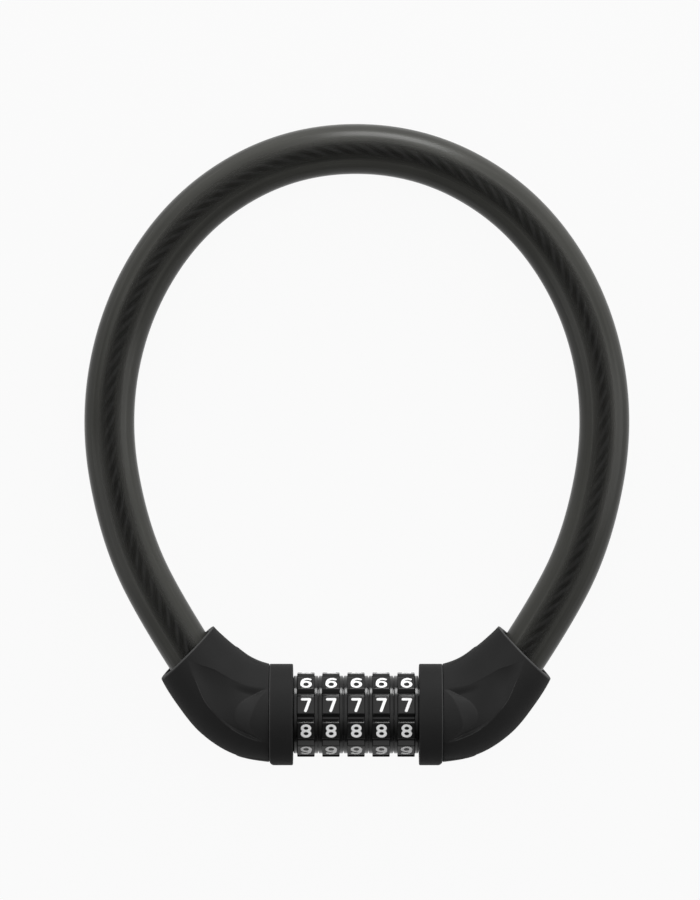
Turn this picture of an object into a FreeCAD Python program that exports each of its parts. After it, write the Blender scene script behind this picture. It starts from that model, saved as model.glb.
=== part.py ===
import FreeCAD
import Part
import math
import os

# A ring cable lock with five number dials, in millimetres. It is built in the plane of its ring:
# X runs along the barrel, Y from the barrel to the far side of the ring, Z out of the ring's front.
# The last step tips the whole lock and lays it on a table. An angle round the barrel is counted from
# Z towards Y. The left side is built, and the right side mirrors it where the two are alike.

# Cable
cable_diameter = 15.0
core_diameter = 9.5
core_clearance = 0.1  # core to sheath and core to ferrule, all round
arc_share = 0.45  # of the shorter run beside a point, which its arc takes up
cable_half = [  # half of the route, chosen by hand: out from the housing's end, up from the barrel
    (12.8, 1.5),
    (30.0, 27.0),
    (43.5, 53.5),
    (50.0, 89.5),
    (42.5, 124.5),
    (22.5, 153.5),
    (-8.0, 170.0),
]
core_start = 4.0  # along the first run, from its first point
sheath_start = 14.0
sheath_play = 0.5  # from the sheath's end to the cast block

# Dials
dial_count = 5
dial_pitch = 7.5
dial_gap = 0.2  # between neighbouring dials
stack_gap = 0.25  # between the stack of dials and each collar
pads_per_dial = 10
dial_wall = 1.65  # from the code ring out to the floor of the grooves between pads
pad_step = 1.1  # from the floor of the grooves up to a pad's flat face
pad_height = 5.2  # of the flat face, round the dial
rim_width = 1.05  # along the barrel, each side of the pads
groove_width = 0.6
rim_step = 0.25  # from the floor of the grooves up to a rim
rim_rounding = 0.25
dial_phase = 16.0  # angle of the pad that stands nearest to the front

# Code rings, one in each dial
code_ring_wall = 1.15  # outside the chamber that holds a lug
code_ring_gap = 0.3  # between neighbouring code rings
spline_count = 10
spline_height = 0.35
spline_width = 1.2
spline_clearance = 0.05
chamber_play = 0.6  # along the barrel, each side of a lug
flute_radius = 0.7
running_clearance = 0.05

# Barrel tube
tube_wall = 2.0
slot_play = 0.15  # each side of a lug
slot_angle = 180.0
slot_run_out = 1.0  # past the last lug
tube_in_block = 5.8
tube_recess = 0.9  # from the collar's outer face back to the tube's end
bed_depth = 1.1  # of the flat bed for the detent spring
bed_play = 0.3  # each side of the spring

# Detent spring, a strip along the tube with one bump for each dial
spring_width = 3.6
spring_thickness = 0.35
spring_angle = 0.0
bump_radius = 0.55
bump_rise = 0.4  # over the tube
bump_length = 2.0
spring_end_play = 0.6

# Plug
plug_radius = 4.9
plug_clearance = 0.1
plug_nose = 2.6  # past the last lug's chamber
nose_chamfer = 1.2
shank_radius = 4.0
shank_length = 5.8
lug_width = 2.9
lug_length = 2.6
lug_rise = 1.35  # over the tube
lug_clearance = 0.25  # round a lug, in the notches and chambers

# Collars and retaining clip
collar_step = 2.7  # from a pad's flat face out to the collar
collar_length = 7.0
collar_chamfer = 0.7
collar_rounding = 0.35
seam_gap = 0.1  # between the left collar and the part of the lock that pulls off
clip_thickness = 1.0
clip_inset = 1.1  # from the tube's end to the clip
clip_groove = 0.6  # into the tube
clip_rise = 1.2  # over the tube
clip_opening = 5.0
clip_clearance = 0.1
clip_pocket_play = 0.8

# Elbow housings
seam_step = 0.55  # from the collar in to the housing, all round
seam_rise = 0.6  # the housing's end stands this much nearer to the ring's middle than the barrel
mouth_wall = 3.6  # round the cable, at the mouth
mouth_turn = 45.0
fan_height = 43.3  # over the barrel's axis, where the planes of the housing's sections meet
housing_sections = [  # angle, distance from the fan's middle, share of the seam's extra diameter
    (11.25, 41.45, 1.0),
    (22.5, 39.1, 0.81),
    (33.75, 36.6, 0.39),
]
mouth_distance = 34.8
housing_wall = 2.0
end_wall = 3.0
grip_length = 6.0  # of the mouth, along its own direction, that is solid round the cable
rib_thickness = 1.5
rib_places = (5.2, 9.6)  # from the seam, and along the cable's first run
fit_clearance = 0.1  # between a housing and what it holds
flare_depth = 2.2
flare_width = 1.5
lip_rounding = 0.6
peg_radius = 0.8
peg_length = 2.0
peg_clearance = 0.05

# Cast blocks in the elbows, with the ferrules and their pins
block_wall = 2.5  # round the barrel tube
block_length = 10.0
socket_floor = 1.4
ferrule_wall = 1.0
ferrule_tail = 1.0  # behind the cable's first point
ferrule_clearance = 0.03
cross_pin_radius = 1.25
cross_pin_place = 1.5  # along the cable's first run
cross_pin_play = 0.02

touch = 0.01  # what counts as lying in one plane

V = FreeCAD.Vector
along = V(1, 0, 0)
front = V(0, 0, 1)

tube_bore = plug_radius + plug_clearance
tube_radius = tube_bore + tube_wall
lug_reach = tube_radius + lug_rise
chamber_radius = lug_reach + lug_clearance
code_ring_radius = chamber_radius + code_ring_wall
groove_radius = code_ring_radius + dial_wall
pad_distance = groove_radius + pad_step
collar_radius = pad_distance + collar_step
seam_radius = collar_radius - seam_step
block_radius = tube_radius + block_wall
clip_seat = tube_radius - clip_groove
clip_radius = tube_radius + clip_rise
bed_floor = tube_radius - bed_depth

first_dial_x = -(dial_count - 1) / 2 * dial_pitch
dial_length = dial_pitch - dial_gap
code_ring_length = dial_pitch - code_ring_gap
pad_width = dial_length - 2 * rim_width
chamber_length = lug_length + 2 * chamber_play
web_length = code_ring_length - chamber_length  # a lug passes it only through the notch
stack_end = dial_count * dial_pitch / 2 - dial_gap / 2
collar_inner = stack_end + stack_gap
collar_outer = collar_inner + collar_length
housing_start = collar_outer + seam_gap
cable_radius = cable_diameter / 2
mouth_radius = cable_radius + mouth_wall
ferrule_radius = core_diameter / 2 + core_clearance + ferrule_wall
socket_radius = cable_radius + fit_clearance  # its end bears on the edge of the cable's hole
notch_width = lug_width + 2 * lug_clearance
lug_offset = code_ring_length / 2 - chamber_play - lug_length

left_points = [V(-housing_start - x, y, 0) for x, y in cable_half]
first_run = (left_points[1] - left_points[0]).normalize()
mouth_outward = V(-math.cos(math.radians(mouth_turn)), math.sin(math.radians(mouth_turn)), 0)
mouth_side = V(mouth_outward.y, -mouth_outward.x, 0)
mouth_middle = V(-housing_start, fan_height, 0) - mouth_side * mouth_distance


def cylinder(low, high, radius):
    return Part.makeCylinder(radius, high - low, V(low, 0, 0), along)


def tube(low, high, outer, inner):
    return cylinder(low, high, outer).cut(cylinder(low, high, inner))


def bar(low, high, width, inner, outer, angle):
    """A square bar along the barrel that stands out from inner to outer at an angle round it."""
    box = Part.makeBox(high - low, width, outer - inner, V(low, -width / 2, inner))
    return box.rotate(V(0, 0, 0), along, -angle)


def on_cable(distance):
    return left_points[0] + first_run * distance


def cable_cylinder(start, end, radius):
    return Part.makeCylinder(radius, end - start, on_cable(start), first_run)


def joined(shapes):
    shapes = list(shapes)
    return shapes[0].multiFuse(shapes[1:]).removeSplitter()


def mirrored(shape):
    return shape.mirror(V(0, 0, 0), along)


def dial_middle(number):
    return first_dial_x + number * dial_pitch


def route(start):
    """The cable's points from end to end, with both ends drawn in along their runs."""
    half = [on_cable(start), *left_points[1:]]
    return half + [V(-p.x, p.y, 0) for p in reversed(half)]


def cable_path(points, radii=None):
    """Straight runs joined by tangent arcs, as one wire."""
    edges, at = [], points[0]
    for before, corner, after in zip(points, points[1:], points[2:]):
        back, ahead = before - corner, after - corner
        turn = math.pi - back.getAngle(ahead)
        reach = arc_share * min(back.Length, ahead.Length)
        radius = reach / math.tan(turn / 2)
        enter = corner + V(back).normalize() * reach
        leave = corner + V(ahead).normalize() * reach
        inward = (V(back).normalize() + V(ahead).normalize()).normalize()
        middle = corner + inward * (radius / math.cos(turn / 2) - radius)
        edges.append(Part.LineSegment(at, enter).toShape())
        edges.append(Part.Arc(enter, middle, leave).toShape())
        at = leave
        if radii is not None:
            radii.append(radius)
    edges.append(Part.LineSegment(at, points[-1]).toShape())
    return Part.Wire(edges)


def swept(path, radius):
    edge = path.Edges[0]
    start = edge.valueAt(edge.FirstParameter)
    circle = Part.Wire(Part.makeCircle(radius, start, edge.tangentAt(edge.FirstParameter)))
    return path.makePipeShell([circle], True, False)


def housing_section(angle, distance, radius):
    """A round section across the housing, in the plane that leans by this angle."""
    turn = math.radians(angle)
    outward = V(-math.sin(turn), -math.cos(turn), 0)
    middle = V(-housing_start, fan_height, 0) + outward * distance
    inner, outer = middle - outward * radius, middle + outward * radius
    arcs = [
        Part.Arc(inner, middle + front * radius, outer).toShape(),
        Part.Arc(outer, middle - front * radius, inner).toShape(),
    ]
    return Part.Wire(arcs)


def housing_form(inset):
    """The elbow's outer shape, or that shape drawn in all round by the inset."""
    extra = seam_radius - mouth_radius
    rows = [(0.0, fan_height - seam_rise, 1.0), *housing_sections, (mouth_turn, mouth_distance, 0.0)]
    wires = [housing_section(a, d, mouth_radius + share * extra - inset) for a, d, share in rows]
    return Part.makeLoft(wires, True, False)


def mouth_slab(depth):
    """Everything from this depth inside the mouth outwards."""
    reach = 4 * seam_radius
    slab = Part.makeBox(reach, reach, reach, V(-reach / 2, -reach / 2, 0))
    turn = FreeCAD.Rotation(front, mouth_outward)
    slab.Placement = FreeCAD.Placement(mouth_middle - mouth_outward * depth, turn)
    return slab


def block_form(gap):
    """The cast block: a boss round the barrel's axis and a socket for the cable's ferrule."""
    boss = cylinder(-housing_start - block_length - gap, -housing_start, block_radius + gap)
    foot = -ferrule_tail - socket_floor - gap
    socket = cable_cylinder(foot, sheath_start - sheath_play, socket_radius + gap)
    return joined([boss, socket])


def peg_places():
    """Beside the cable in the mouth's grip, and above and below the block in the end wall."""
    in_grip = mouth_middle - mouth_outward * grip_length / 2
    from_cable = cable_radius + fit_clearance + mouth_wall / 2
    in_wall = -housing_start - end_wall / 2
    from_axis = (block_radius + seam_radius) / 2
    return [
        in_grip + mouth_side * from_cable,
        in_grip - mouth_side * from_cable,
        V(in_wall, from_axis, 0),
        V(in_wall, seam_rise - from_axis, 0),
    ]


def at_mouth(edge):
    return all(abs((v.Point - mouth_middle).dot(mouth_outward)) < touch for v in edge.Vertexes)


def housing_shells():
    """The left elbow's front and rear shells, which meet in the plane of the ring."""
    outer = housing_form(0)
    outer = outer.makeFillet(lip_rounding, [e for e in outer.Edges if at_mouth(e)])
    cavity = housing_form(housing_wall)
    far = 8 * seam_radius
    cavity = cavity.cut(Part.makeBox(far, far, far, V(-housing_start - end_wall, -far / 2, -far / 2)))
    cavity = cavity.cut(mouth_slab(grip_length))
    barrel_rib, cable_rib = rib_places
    rib_x = -housing_start - barrel_rib
    cavity = cavity.cut(cylinder(rib_x - rib_thickness, rib_x, 2 * seam_radius))
    cavity = cavity.cut(cable_cylinder(cable_rib, cable_rib + rib_thickness, 2 * seam_radius))
    hole = cable_radius + fit_clearance
    flare_foot = mouth_middle - mouth_outward * flare_depth
    flare = Part.makeCone(hole, hole + flare_width, flare_depth, flare_foot, mouth_outward)
    solid = outer.cut(cavity).cut(block_form(fit_clearance)).cut(flare)
    solid = solid.cut(cable_cylinder(sheath_start - sheath_play, far, hole))
    half = Part.makeBox(far, far, far, V(-far, -far / 2, 0))
    front_shell = solid.common(half)
    rear_shell = solid.cut(half)
    for place in peg_places():
        foot = place - front * peg_length
        rear_shell = rear_shell.fuse(Part.makeCylinder(peg_radius, 2 * peg_length, foot, front))
        hole_radius, hole_depth = peg_radius + peg_clearance, peg_length + peg_clearance
        front_shell = front_shell.cut(Part.makeCylinder(hole_radius, hole_depth, place, front))
    return front_shell, rear_shell


def collar():
    """The left collar. Its outer end leans to meet the housing, and the lugs pass through its slot."""
    straight = collar_outer - collar_chamfer
    body = cylinder(-straight, -collar_inner, collar_radius)
    inner_end = [e for e in body.Edges if e.Closed and abs(e.CenterOfMass.x + collar_inner) < touch]
    body = body.makeFillet(collar_rounding, inner_end)
    wide = Part.Wire(Part.makeCircle(collar_radius, V(-straight, 0, 0), along))
    narrow = Part.Wire(Part.makeCircle(seam_radius, V(-collar_outer, seam_rise, 0), along))
    return body.fuse(Part.makeLoft([wide, narrow], True, True))


def left_collar():
    pocket_floor = -collar_outer + tube_recess + clip_inset + clip_thickness + clip_clearance
    bore = cylinder(-collar_outer, -collar_inner, tube_radius + running_clearance)
    pocket = cylinder(-collar_outer, pocket_floor, clip_radius + clip_pocket_play)
    way = bar(-collar_outer, -collar_inner, notch_width, 0, chamber_radius, slot_angle)
    return collar().cut(bore).cut(pocket).cut(way)


def right_collar():
    ring = mirrored(collar())
    return ring.cut(cylinder(collar_inner, collar_outer, tube_radius + running_clearance))


def barrel_tube():
    end = -collar_outer + tube_recess
    body = tube(end, housing_start + tube_in_block, tube_radius, tube_bore)
    slot_end = dial_middle(dial_count - 1) + lug_offset + lug_length + slot_run_out
    outside = tube_radius + tube_wall
    body = body.cut(bar(end, slot_end, lug_width + 2 * slot_play, 0, outside, slot_angle))
    bed_width = spring_width + 2 * bed_play
    body = body.cut(bar(-stack_end, stack_end, bed_width, bed_floor, outside, spring_angle))
    groove_low = end + clip_inset - clip_clearance
    groove_high = end + clip_inset + clip_thickness + clip_clearance
    return body.cut(tube(groove_low, groove_high, outside, clip_seat))


def retaining_clip():
    low = -collar_outer + tube_recess + clip_inset
    ring = tube(low, low + clip_thickness, clip_radius, clip_seat)
    return ring.cut(bar(low, low + clip_thickness, clip_opening, 0, 2 * clip_radius, slot_angle))


def detent_spring():
    """A flat strip in its bed on the tube, with a rounded bump under each code ring's web."""
    low, high = -stack_end + spring_end_play, stack_end - spring_end_play
    strip_top = bed_floor + spring_thickness
    parts = [bar(low, high, spring_width, bed_floor, strip_top, spring_angle)]
    for number in range(dial_count):
        middle = dial_middle(number) - code_ring_length / 2 + web_length / 2
        start, end = middle - bump_length / 2, middle + bump_length / 2
        top = tube_radius + bump_rise - bump_radius
        parts.append(bar(start, end, 2 * bump_radius, bed_floor, top, spring_angle))
        round_top = Part.makeCylinder(bump_radius, bump_length, V(start, 0, top), along)
        parts.append(round_top.rotate(V(0, 0, 0), along, -spring_angle))
    return joined(parts)


def code_ring(number):
    """A ring whose web stops the lug except at its notch, with a chamber in which the lug is free."""
    middle = dial_middle(number)
    low, high = middle - code_ring_length / 2, middle + code_ring_length / 2
    bore = tube_radius + running_clearance
    ring = tube(low, high, code_ring_radius, bore)
    ring = ring.cut(cylinder(low + web_length, high, chamber_radius))
    ring = ring.cut(bar(low, low + web_length, notch_width, 0, chamber_radius, slot_angle))
    step = 360 / pads_per_dial
    for place in range(pads_per_dial):
        flute = Part.makeCylinder(flute_radius, web_length, V(low, 0, bore), along)
        ring = ring.cut(flute.rotate(V(0, 0, 0), along, -spring_angle - place * step))
    return joined([ring, *splines(low, high, spline_width, spline_height)])


def splines(low, high, width, height):
    step = 360 / spline_count
    foot = code_ring_radius - code_ring_wall / 2
    return [bar(low, high, width, foot, code_ring_radius + height, (n + 0.5) * step)
            for n in range(spline_count)]


def pad_outline():
    """The outline across a dial: flat pads with steep sides and narrow grooves between them."""
    step = 2 * math.pi / pads_per_dial
    foot = step / 2 - groove_width / 2 / groove_radius
    shoulder = math.atan2(pad_height / 2, pad_distance)
    shoulder_radius = math.hypot(pad_height / 2, pad_distance)
    points = []
    for number in range(pads_per_dial):
        middle = math.radians(dial_phase) + number * step
        corners = [(-foot, groove_radius), (-shoulder, shoulder_radius),
                   (shoulder, shoulder_radius), (foot, groove_radius)]
        points += [V(0, r * math.sin(middle + a), r * math.cos(middle + a)) for a, r in corners]
    return Part.makePolygon([*points, points[0]])


def dial(number):
    middle = dial_middle(number)
    low, high = middle - dial_length / 2, middle + dial_length / 2
    pads = Part.Face(pad_outline()).extrude(V(pad_width, 0, 0))
    pads.translate(V(middle - pad_width / 2, 0, 0))
    rims = []
    for start in (low, high - rim_width):
        rim = cylinder(start, start + rim_width, groove_radius + rim_step)
        rims.append(rim.makeFillet(rim_rounding, [e for e in rim.Edges if e.Closed]))
    bore = cylinder(low, high, code_ring_radius + spline_clearance)
    body = joined([pads, *rims]).cut(bore)
    keyways = splines(low, high, spline_width + 2 * spline_clearance, spline_height + spline_clearance)
    return body.cut(keyways)


def plug():
    """The pin that enters the barrel, with one lug for each dial and a shank in its cast block."""
    tip = dial_middle(dial_count - 1) + lug_offset + lug_length + plug_nose
    pin = cylinder(-housing_start, tip, plug_radius)
    pin = pin.makeChamfer(nose_chamfer, [e for e in pin.Edges if e.Closed and e.CenterOfMass.x > 0])
    shank = cylinder(-housing_start - shank_length, -housing_start, shank_radius)
    lugs = []
    for number in range(dial_count):
        start = dial_middle(number) + lug_offset
        lugs.append(bar(start, start + lug_length, lug_width, plug_radius / 2, lug_reach, slot_angle))
    return joined([pin, shank, *lugs])


def cable_block():
    """The cast block without its hole along the barrel."""
    socket = cable_cylinder(-ferrule_tail, sheath_start, ferrule_radius + ferrule_clearance)
    return block_form(0).cut(socket).cut(cross_pin(cross_pin_play))


def left_block():
    return cable_block().cut(cylinder(-housing_start - shank_length, -housing_start, shank_radius))


def right_block():
    return mirrored(cable_block()).cut(cylinder(housing_start, housing_start + tube_in_block, tube_radius))


def cross_pin(play):
    place = on_cable(cross_pin_place)
    length = 2 * socket_radius
    return Part.makeCylinder(cross_pin_radius + play, length, place - front * length / 2, front)


def ferrule():
    """A sleeve swaged on the core, closed at its tail and drilled for the pin."""
    body = cable_cylinder(-ferrule_tail, sheath_start - sheath_play, ferrule_radius)
    bore = cable_cylinder(core_start, sheath_start, core_diameter / 2 + core_clearance)
    return body.cut(bore).cut(cross_pin(cross_pin_play))


def cable_nodes():
    radii = []
    sheath_path = cable_path(route(sheath_start), radii)
    core_path = cable_path(route(core_start))
    sheath = swept(sheath_path, cable_radius)
    sheath = sheath.cut(swept(sheath_path, core_diameter / 2 + core_clearance))
    core = swept(core_path, core_diameter / 2)
    print("cable bend radii", [round(r, 1) for r in radii])
    print("sheath length", round(sheath_path.Length, 1), "core length", round(core_path.Length, 1))
    wall = math.pi * (cable_radius**2 - (core_diameter / 2 + core_clearance) ** 2)
    print("sheath volume", round(sheath.Volume), "section times length", round(wall * sheath_path.Length))
    rod = math.pi * (core_diameter / 2) ** 2
    print("core volume", round(core.Volume), "section times length", round(rod * core_path.Length))
    return {"cable_sheath": sheath, "cable_core": core}


def all_nodes():
    left_front, left_rear = housing_shells()
    nodes = {
        "left_housing_front": left_front,
        "left_housing_rear": left_rear,
        "left_block": left_block(),
        "left_ferrule": ferrule(),
        "left_cross_pin": cross_pin(0),
        "plug": plug(),
        "right_housing_front": mirrored(left_front),
        "right_housing_rear": mirrored(left_rear),
        "right_block": right_block(),
        "right_ferrule": mirrored(ferrule()),
        "right_cross_pin": mirrored(cross_pin(0)),
        "barrel_tube": barrel_tube(),
        "left_collar": left_collar(),
        "right_collar": right_collar(),
        "retaining_clip": retaining_clip(),
        "detent_spring": detent_spring(),
        **cable_nodes(),
    }
    for number in range(dial_count):
        nodes[f"dial_{number + 1}"] = dial(number)
        nodes[f"code_ring_{number + 1}"] = code_ring(number)
    return nodes


def laid_on_table():
    """Tips the ring until its far side and the collars both touch the table, and centres it."""
    far_side = max(y for x, y in cable_half)
    tip = math.asin((collar_radius - cable_radius) / far_side)
    depth = collar_radius + far_side * math.cos(tip) + cable_radius
    place = V(0, collar_radius - depth / 2, collar_radius)
    return FreeCAD.Placement(place, FreeCAD.Rotation(along, -math.degrees(tip)))


os.makedirs("parts", exist_ok=True)
placement = laid_on_table()
for name, shape in all_nodes().items():
    shape.Placement = placement.multiply(shape.Placement)
    if not shape.isValid() or len(shape.Solids) != 1:
        print("look at", name, "valid", shape.isValid(), "solids", len(shape.Solids))
    shape.exportStep(f"parts/{name}.step")
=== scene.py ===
import math

import bpy
import numpy as np
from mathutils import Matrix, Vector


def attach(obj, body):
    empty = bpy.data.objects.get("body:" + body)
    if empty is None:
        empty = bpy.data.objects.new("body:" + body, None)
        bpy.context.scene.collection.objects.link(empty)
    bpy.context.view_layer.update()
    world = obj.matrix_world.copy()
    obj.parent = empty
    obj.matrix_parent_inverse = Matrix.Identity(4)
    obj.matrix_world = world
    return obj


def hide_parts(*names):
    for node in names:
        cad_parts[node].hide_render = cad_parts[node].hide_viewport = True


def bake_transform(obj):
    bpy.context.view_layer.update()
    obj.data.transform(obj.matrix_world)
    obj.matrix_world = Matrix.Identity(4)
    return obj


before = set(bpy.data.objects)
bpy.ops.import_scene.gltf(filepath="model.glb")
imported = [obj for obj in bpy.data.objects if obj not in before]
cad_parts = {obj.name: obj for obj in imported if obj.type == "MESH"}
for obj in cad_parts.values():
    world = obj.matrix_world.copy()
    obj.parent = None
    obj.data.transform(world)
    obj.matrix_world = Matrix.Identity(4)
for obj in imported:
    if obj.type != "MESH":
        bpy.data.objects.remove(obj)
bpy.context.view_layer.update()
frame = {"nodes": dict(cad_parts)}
nodes = frame["nodes"]

# The lock is worked out in the plane of its ring, in millimetres: x along the barrel, y to the far side
# of the ring, z out of its front. It lies on the table tipped, on its collars and the ring's far side.
lock = {
    "collarRadius": 15.2,
    "cableRadius": 7.5,
    "farSide": 170.0,
    "housingStart": 26.0,
}
tipAngle = math.asin((lock["collarRadius"] - lock["cableRadius"]) / lock["farSide"])
ringDepth = lock["collarRadius"] + lock["farSide"] * math.cos(tipAngle) + lock["cableRadius"]
ringUp = np.array([0, math.cos(tipAngle), -math.sin(tipAngle)])
ringFront = np.array([0, math.sin(tipAngle), math.cos(tipAngle)])


def toTable(points):
    # from the ring's plane to the table, in metres: y runs up the tipped ring and z out of its front
    origin = np.array([0, lock["collarRadius"] - ringDepth / 2, lock["collarRadius"]])
    return (np.asarray(points, float) @ np.array([[1, 0, 0], ringUp, ringFront]) + origin) * 0.001


# Camera
view = {"target": (-1.8, 79.35, 0.0), "distance": 1500.0, "frameWidth": 210.0, "sensor": 36.0}


def makeCamera():
    data = bpy.data.cameras.new("camera")
    data.sensor_fit = "HORIZONTAL"
    data.sensor_width = view["sensor"]
    data.lens = view["sensor"] * view["distance"] / view["frameWidth"]
    camera = bpy.data.objects.new("camera", data)
    bpy.context.scene.collection.objects.link(camera)
    x, y, z = view["target"]
    camera.location = toTable([x, y, z + view["distance"]])
    camera.rotation_euler = (-tipAngle, 0, 0)
    bpy.context.scene.camera = camera
    bpy.context.scene.view_settings.view_transform = "Standard"


makeCamera()
print("camera made")


# Meshes


def smoothStep(low, high, at):
    # 0 below low, 1 above high, 3t2 - 2t3 between
    t = np.clip((at - low) / (high - low), 0, 1)
    return t * t * (3 - 2 * t)


def curveThrough(knots, values, at):
    # a smooth line through points: one cubic between neighbours, with central differences as slopes
    knots, values, at = (np.asarray(a, float) for a in (knots, values, at))
    slopes = np.gradient(values, knots)
    k = np.clip(np.searchsorted(knots, at) - 1, 0, len(knots) - 2)
    span = knots[k + 1] - knots[k]
    t = (at - knots[k]) / span
    low, high = values[k], values[k + 1]
    rise = slopes[k] * span * t * (1 - t) ** 2 - slopes[k + 1] * span * t * t * (1 - t)
    return low * (1 + 2 * t) * (1 - t) ** 2 + high * t * t * (3 - 2 * t) + rise


def roundOff(depth, radius):
    # how far a rounded edge falls back, this deep from the end face: radius less the circle's height
    short = radius - np.clip(depth, 0, radius)
    return radius - np.sqrt(radius**2 - short**2)


def gridFaces(rows, columns, closeRows, closeColumns):
    # one quad for each cell of a grid of points, wrapped round where it is closed
    r = np.arange(rows if closeRows else rows - 1)[:, None]
    c = np.arange(columns if closeColumns else columns - 1)[None, :]
    down, across = (r + 1) % rows, (c + 1) % columns
    corners = [r * columns + c, r * columns + across, down * columns + across, down * columns + c]
    return np.stack(np.broadcast_arrays(*corners), -1).reshape(-1, 4)


def solidAlong(points):
    # a closed outline carried along a path, rows by outline points, with each end filled by strips
    rows, sides = points.shape[:2]
    faces = [gridFaces(rows, sides, False, True)]
    k = np.arange(sides // 2 - 1)
    cap = np.stack([k, k + 1, sides - 2 - k, sides - 1 - k], -1)
    faces += [cap, cap[:, ::-1] + (rows - 1) * sides]
    return points.reshape(-1, 3), np.concatenate(faces)


def ringSolid(points):
    # a closed outline carried round to its start
    return points.reshape(-1, 3), gridFaces(*points.shape[:2], True, True)


def joined(parts):
    starts = np.cumsum([0] + [len(points) for points, faces in parts[:-1]])
    return (
        np.concatenate([points for points, faces in parts]),
        np.concatenate([faces + start for (points, faces), start in zip(parts, starts)]),
    )


def outwards(points, faces):
    # turns the faces round where the volume that they close comes out negative
    a, b, c, d = (points[faces[:, k]] for k in range(4))
    volume = np.sum(a * np.cross(b, c)) + np.sum(a * np.cross(c, d))
    return faces if volume > 0 else faces[:, ::-1]


def makePiece(name, solid, material, sharpAngle=38.0, given=()):
    points, faces = solid
    mesh = bpy.data.meshes.new(name)
    mesh.from_pydata(points.tolist(), [], outwards(points, faces).tolist())
    mesh.polygons.foreach_set("use_smooth", np.ones(len(faces), bool))
    mesh.set_sharp_from_angle(angle=math.radians(sharpAngle))
    mesh.materials.append(material)
    for key, values in dict(given).items():
        single = values.ndim == 1
        layer = mesh.attributes.new(key, "FLOAT" if single else "FLOAT_VECTOR", "POINT")
        layer.data.foreach_set("value" if single else "vector", values.ravel())
    piece = bpy.data.objects.new(name, mesh)
    bpy.context.scene.collection.objects.link(piece)
    return piece


# Materials


class Value:
    # a number inside a material; sums, products and powers of it add their Math nodes
    def __init__(self, paint, socket):
        self.paint, self.socket = paint, socket

    def __add__(self, other):
        return self.paint.math("ADD", self, other)

    def __sub__(self, other):
        return self.paint.math("SUBTRACT", self, other)

    def __rsub__(self, other):
        return self.paint.math("SUBTRACT", other, self)

    def __mul__(self, other):
        return self.paint.math("MULTIPLY", self, other)

    def __pow__(self, other):
        return self.paint.math("POWER", self, other)

    __radd__, __rmul__ = __add__, __mul__


class Nodes:
    # a node tree that is written as sums and calls
    def __init__(self, tree):
        self.tree = tree

    def feed(self, socket, value):
        if isinstance(value, Value):
            self.tree.links.new(value.socket, socket)
        else:
            socket.default_value = value

    def node(self, kind, settings, inputs, output=0):
        made = self.tree.nodes.new("ShaderNode" + kind)
        for key, value in settings.items():
            setattr(made, key, value)
        for key, value in inputs.items():
            self.feed(made.inputs[key], value)
        return Value(self, made.outputs[output])

    def math(self, operation, first, second):
        return self.node("Math", {"operation": operation}, {0: first, 1: second})

    def dot(self, first, second):
        return self.node("VectorMath", {"operation": "DOT_PRODUCT"}, {0: first, 1: second}, "Value")

    def limited(self, value):
        return self.node("Clamp", {}, {"Value": value})


class Paint(Nodes):
    # one material, made round its Principled shader
    def __init__(self, name, **fixed):
        self.material = bpy.data.materials.new(name)
        self.material.use_nodes = True
        super().__init__(self.material.node_tree)
        self.surface = self.tree.nodes["Principled BSDF"]
        for key, value in fixed.items():
            self.feed(self.surface.inputs[key.replace("_", " ")], value)

    def place(self):
        return self.node("TexCoord", {}, {}, "Object")

    def given(self, name, output="Fac"):
        # what the mesh carries under this name
        return self.node("Attribute", {"attribute_name": name}, {}, output)

    def noise(self, size, detail=2.0, where=None):
        # cloudy noise whose patches are about this many millimetres across
        inputs = {"Vector": where or self.place(), "Scale": 1000.0 / size, "Detail": detail}
        return self.node("TexNoise", {}, inputs, "Fac")

    def mix(self, factor, low, high):
        return self.node("Mix", {"data_type": "RGBA"}, {0: factor, 6: low, 7: high}, 2)

    def bump(self, height, depth, strength=1.0):
        # depth in millimetres
        inputs = {"Height": height, "Distance": depth / 1000, "Strength": strength}
        return self.node("Bump", {}, inputs)

    def wear(self, reach, gain, patches):
        # 0 on flat parts and more within this many millimetres of an edge, in patches: how far the
        # normal of the rounded shape turns away from the surface's own
        rounded = self.node("Bevel", {"samples": 6}, {"Radius": reach / 1000})
        own = self.node("NewGeometry", {}, {}, "Normal")
        return self.limited((1 - self.dot(rounded, own)) * gain) * patches

    def use(self, **links):
        for key, value in links.items():
            self.feed(self.surface.inputs[key.replace("_", " ")], value)
        return self.material


def grey(value, warmth=0.0):
    return (value * (1 + warmth), value, value * (1 - warmth), 1.0)


def rubberCoat():
    # soft black coat with a fine grain, worn lighter along its edges, and painted highlights where the
    # mesh carries them
    paint = Paint("rubber_coat", Specular_IOR_Level=0.05)
    cloud, grain = paint.noise(9.0, 3.0), paint.noise(0.32, 3.0)
    plain = paint.mix(cloud * 0.7 + grain * 0.3, grey(0.016), grey(0.021))
    patches = 0.4 + 0.6 * cloud
    # worn holds the edge wear plus the painted highlight that the mesh carries
    worn = paint.limited(paint.wear(0.35, 10.0, patches) + paint.given("paintedHighlight") * patches)
    return paint.use(
        Base_Color=paint.mix(worn, plain, grey(0.09)),
        Roughness=0.5 + 0.12 * cloud + 0.1 * grain,
        Normal=paint.bump(grain, 0.03, 0.7),
    )


def dialPlastic():
    paint = Paint("dial_plastic", Specular_IOR_Level=0.28)
    cloud, grain = paint.noise(3.0, 3.0), paint.noise(0.15, 2.0)
    worn = paint.wear(0.12, 4.0, cloud)
    return paint.use(
        Base_Color=paint.mix(worn, paint.mix(cloud, grey(0.007), grey(0.010)), grey(0.03)),
        Roughness=0.14 + 0.07 * cloud + 0.06 * worn,
        Normal=paint.bump(grain, 0.003, 0.3),
    )


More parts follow.
